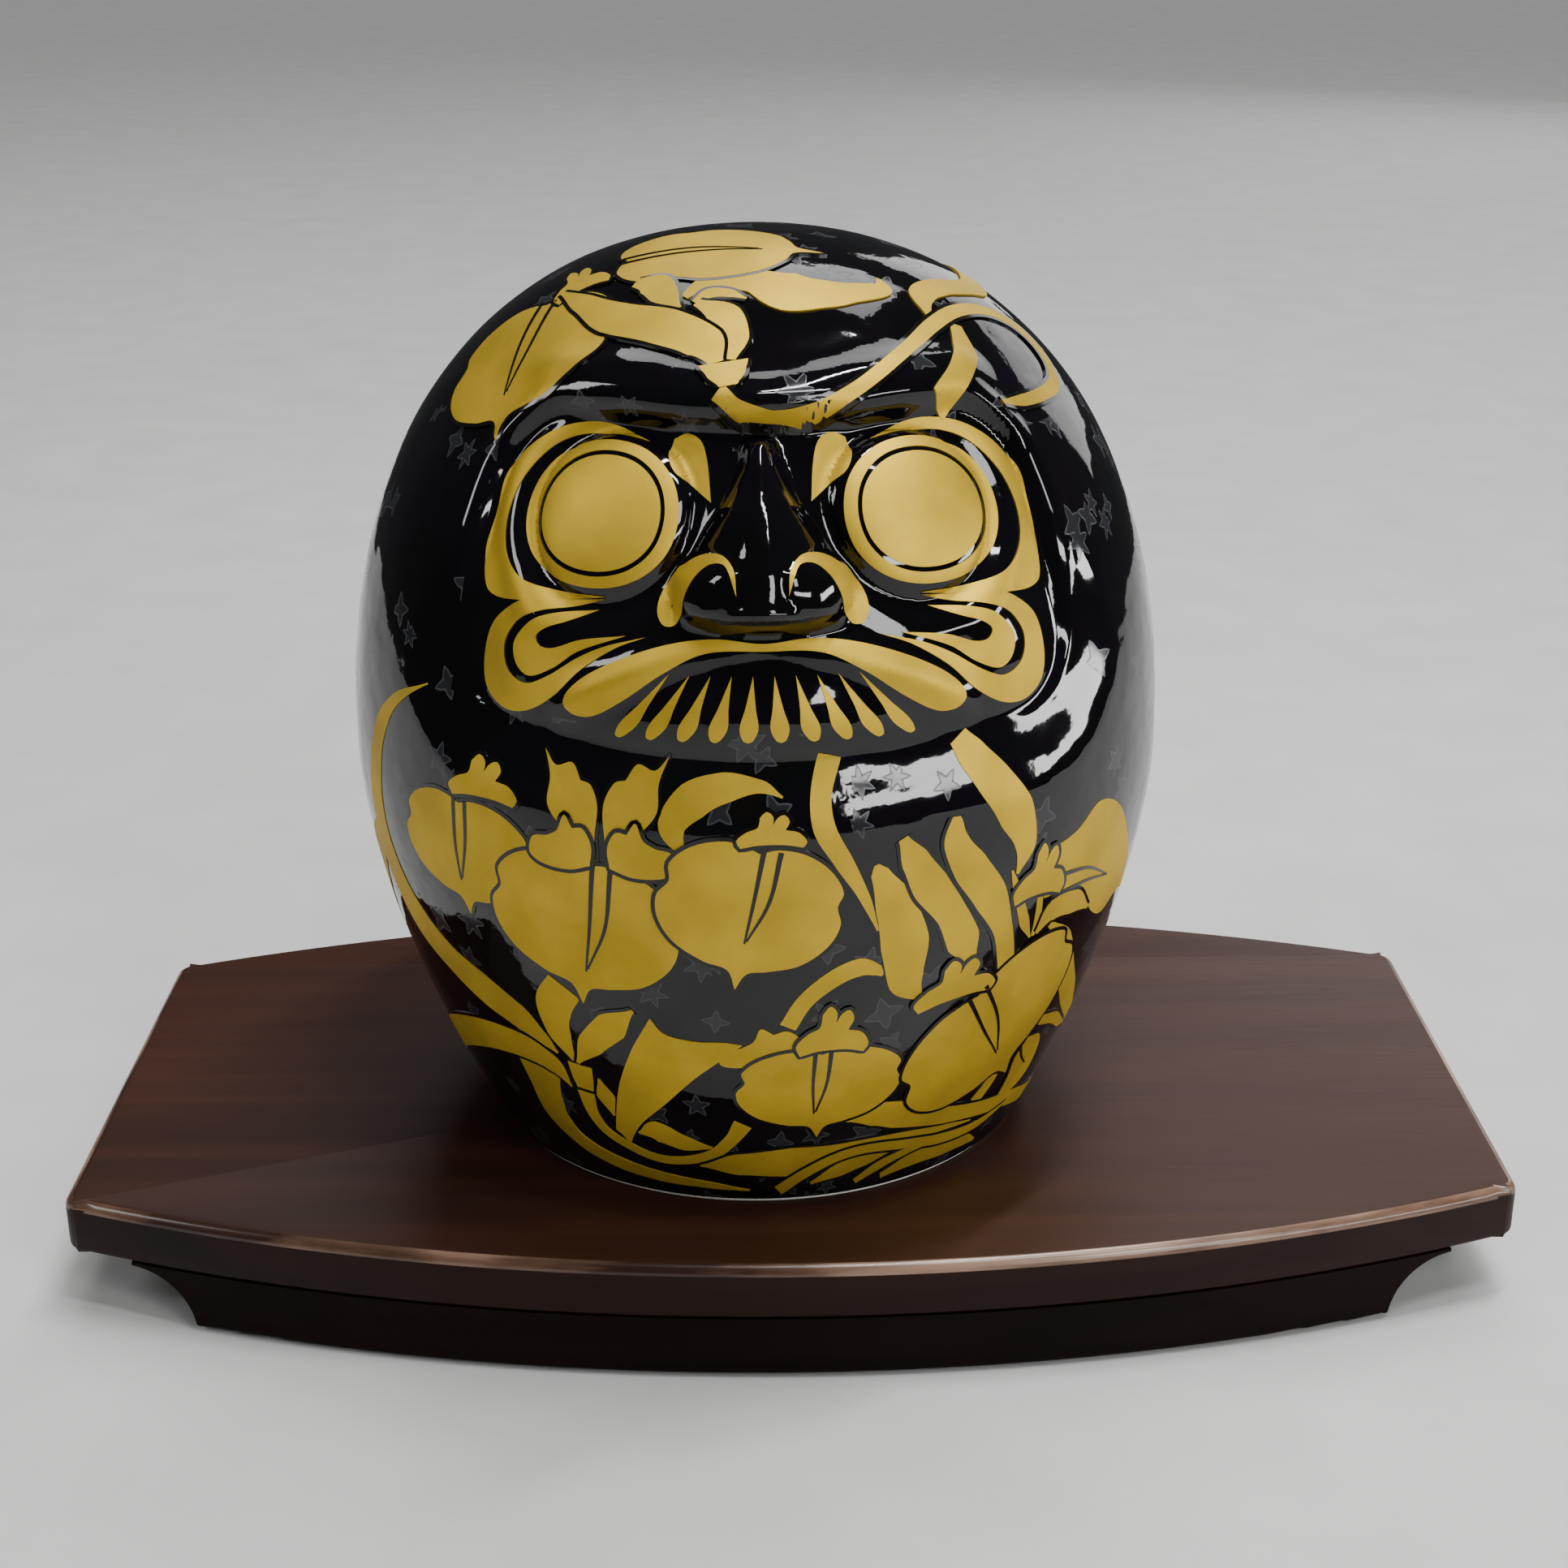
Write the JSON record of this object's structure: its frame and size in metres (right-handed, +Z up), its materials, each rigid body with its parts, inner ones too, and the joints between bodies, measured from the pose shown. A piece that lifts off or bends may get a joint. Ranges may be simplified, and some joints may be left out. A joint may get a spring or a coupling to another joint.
{
  "type": "daruma doll on display stand",
  "caption": "Round hollow porcelain daruma doll with a relief face, standing free on a low bow-fronted wooden display stand with coved rails and felt pads.",
  "frame": {"origin": "middle of the stand's footprint, on the surface that the felt pads rest on", "axes": "+Z up, +X along the length of the stand to the doll's left seen from the front, doll's face towards -Y"},
  "size_m": [0.303, 0.171, 0.2155],
  "materials": {
    "black_glaze": "glossy black lustre glaze with satin gold decoration, foot ring unglazed",
    "stained_wood": "dark reddish-brown stain under satin lacquer",
    "plain_wood": "bare",
    "screw_steel": "zinc plated",
    "felt": "felt"
  },
  "bodies": {
    "stand": {"stand_top": "stained_wood", "stand_rail_front": "stained_wood", "stand_rail_rear": "stained_wood", "stand_batten_left": "stained_wood", "stand_batten_right": "stained_wood", "stand_dowels": "plain_wood", "stand_screws": "screw_steel", "felt_pad_front_left": "felt", "felt_pad_front_right": "felt", "felt_pad_rear_left": "felt", "felt_pad_rear_right": "felt"},
    "doll": {"doll_body": "black_glaze"}
  },
  "joints": [
    {"name": "doll_lift", "type": "slide", "parent": "stand", "child": "doll", "axis": [0, 0, 1], "range_m": [0, 0.12]}
  ]
}
